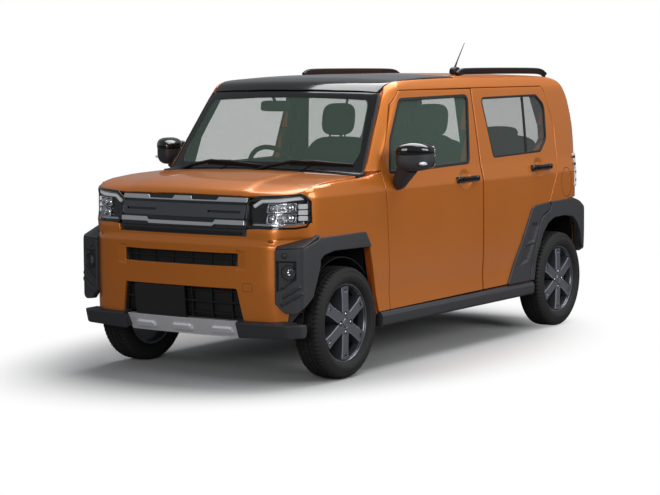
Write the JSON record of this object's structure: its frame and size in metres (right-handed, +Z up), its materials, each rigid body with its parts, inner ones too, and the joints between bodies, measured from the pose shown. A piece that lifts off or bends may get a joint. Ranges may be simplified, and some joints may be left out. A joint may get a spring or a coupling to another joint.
{
  "type": "kei car",
  "caption": "Small tall-cabin passenger car with hinged doors, bonnet and tailgate, black arch cladding, roof rails, steered front wheels and rolling wheels.",
  "frame": {"origin": "on the ground under the middle of the bounding box", "axes": "+X is the car's left, -Y is its front, +Z is up"},
  "size_m": [1.885, 3.395, 1.7816],
  "materials": {
    "orange_paint": "pearl orange paint under clear coat",
    "black_gloss": "gloss black",
    "black_plastic": "grained black moulding",
    "silver_trim": "satin silver",
    "grey_trim": "dark grey with silver bars",
    "green_glass": "green tinted",
    "clear_glass": "laminated screen",
    "dark_glass": "privacy tinted",
    "clear_lens": "clear lens over bright reflectors",
    "red_lens": "clear and red lens",
    "body_steel": "dark underbody coating",
    "cast_metal": "cast, plain",
    "exhaust_steel": "dull steel",
    "cabin_plastic": "grained dark moulding",
    "seat_fabric": "dark grey woven cloth",
    "tyre_rubber": "tyre rubber",
    "wheel_metal": "gunmetal with bright edges"
  },
  "bodies": {
    "root": {"roof_panel": "orange_paint", "front_fenders": "orange_paint", "body_sides": "orange_paint", "roof_glass": "black_gloss", "windscreen": "clear_glass", "cowl": "black_plastic", "cladding": "black_plastic", "wheel_liners": "black_plastic", "wipers": "black_plastic", "antenna": "black_plastic", "rear_bumper": "orange_paint", "front_bumper": "orange_paint", "tail_lamps": "red_lens", "front_lamps": "clear_lens", "skid_plate": "silver_trim", "roof_rails": "silver_trim", "grille": "grey_trim", "floor_pan": "body_steel", "firewall": "body_steel", "wheelhouses": "body_steel", "front_frame": "body_steel", "front_subframe": "body_steel", "rear_axle": "body_steel", "engine_block": "cast_metal", "radiator": "cast_metal", "fuel_tank": "black_plastic", "exhaust": "exhaust_steel", "dashboard": "cabin_plastic", "seats": "seat_fabric"},
    "door_front_left": {"door_front_left_panel": "orange_paint", "door_front_left_glass": "green_glass", "door_front_left_trim": "black_gloss"},
    "door_front_right": {"door_front_right_panel": "orange_paint", "door_front_right_glass": "green_glass", "door_front_right_trim": "black_gloss"},
    "door_rear_left": {"door_rear_left_panel": "orange_paint", "door_rear_left_glass": "dark_glass", "door_rear_left_trim": "black_plastic"},
    "door_rear_right": {"door_rear_right_panel": "orange_paint", "door_rear_right_glass": "dark_glass", "door_rear_right_trim": "black_plastic"},
    "bonnet": {"bonnet_panel": "orange_paint"},
    "tailgate": {"tailgate_panel": "orange_paint", "tailgate_glass": "dark_glass"},
    "knuckle_front_left": {"knuckle_left": "body_steel"},
    "knuckle_front_right": {"knuckle_right": "body_steel"},
    "steering": {"steering_wheel": "cabin_plastic"},
    "wheel_front_left": {"tyre_front_left": "tyre_rubber", "rim_front_left": "wheel_metal"},
    "wheel_front_right": {"tyre_front_right": "tyre_rubber", "rim_front_right": "wheel_metal"},
    "wheel_rear_left": {"tyre_rear_left": "tyre_rubber", "rim_rear_left": "wheel_metal"},
    "wheel_rear_right": {"tyre_rear_right": "tyre_rubber", "rim_rear_right": "wheel_metal"}
  },
  "joints": [
    {"name": "door_front_left_hinge", "type": "hinge", "parent": "root", "child": "door_front_left", "pos_m": [0.722, -0.7637, 0.6993], "axis": [0, 0.0761, -0.9971], "range_deg": [0, 65]},
    {"name": "door_front_right_hinge", "type": "hinge", "parent": "root", "child": "door_front_right", "pos_m": [-0.722, -0.7637, 0.6993], "axis": [0, -0.0761, 0.9971], "range_deg": [0, 65]},
    {"name": "door_rear_left_hinge", "type": "hinge", "parent": "root", "child": "door_rear_left", "pos_m": [0.722, 0.3057, 0.8], "axis": [0, 0, -1], "range_deg": [0, 70]},
    {"name": "door_rear_right_hinge", "type": "hinge", "parent": "root", "child": "door_rear_right", "pos_m": [-0.722, 0.3057, 0.8], "axis": [0, 0, 1], "range_deg": [0, 70]},
    {"name": "bonnet_hinge", "type": "hinge", "parent": "root", "child": "bonnet", "pos_m": [0, -0.986, 1.083], "axis": [-1, 0, 0], "range_deg": [0, 50]},
    {"name": "tailgate_hinge", "type": "hinge", "parent": "root", "child": "tailgate", "pos_m": [0, 1.42, 1.592], "axis": [1, 0, 0], "range_deg": [0, 80]},
    {"name": "steering_left", "type": "hinge", "parent": "root", "child": "knuckle_front_left", "pos_m": [0.64, -1.1825, 0.2975], "axis": [0, 0, 1], "range_deg": [-35, 35]},
    {"name": "steering_right", "type": "hinge", "parent": "root", "child": "knuckle_front_right", "pos_m": [-0.64, -1.1825, 0.2975], "axis": [0, 0, 1], "range_deg": [-35, 35]},
    {"name": "steering_wheel_turn", "type": "hinge", "parent": "root", "child": "steering", "pos_m": [-0.33, -0.347, 1.021], "axis": [0, -0.8988, -0.4384], "range_deg": [-525, 525]},
    {"name": "wheel_front_left_spin", "type": "hinge", "parent": "knuckle_front_left", "child": "wheel_front_left", "pos_m": [0.65, -1.1825, 0.2975], "axis": [1, 0, 0], "continuous": true},
    {"name": "wheel_front_right_spin", "type": "hinge", "parent": "knuckle_front_right", "child": "wheel_front_right", "pos_m": [-0.65, -1.1825, 0.2975], "axis": [1, 0, 0], "continuous": true},
    {"name": "wheel_rear_left_spin", "type": "hinge", "parent": "root", "child": "wheel_rear_left", "pos_m": [0.6475, 1.2775, 0.2975], "axis": [1, 0, 0], "continuous": true},
    {"name": "wheel_rear_right_spin", "type": "hinge", "parent": "root", "child": "wheel_rear_right", "pos_m": [-0.6475, 1.2775, 0.2975], "axis": [1, 0, 0], "continuous": true}
  ],
  "couplings": [
    {"joint": "steering_right", "follows": "steering_left", "ratio": 1},
    {"joint": "steering_wheel_turn", "follows": "steering_left", "ratio": 15}
  ]
}
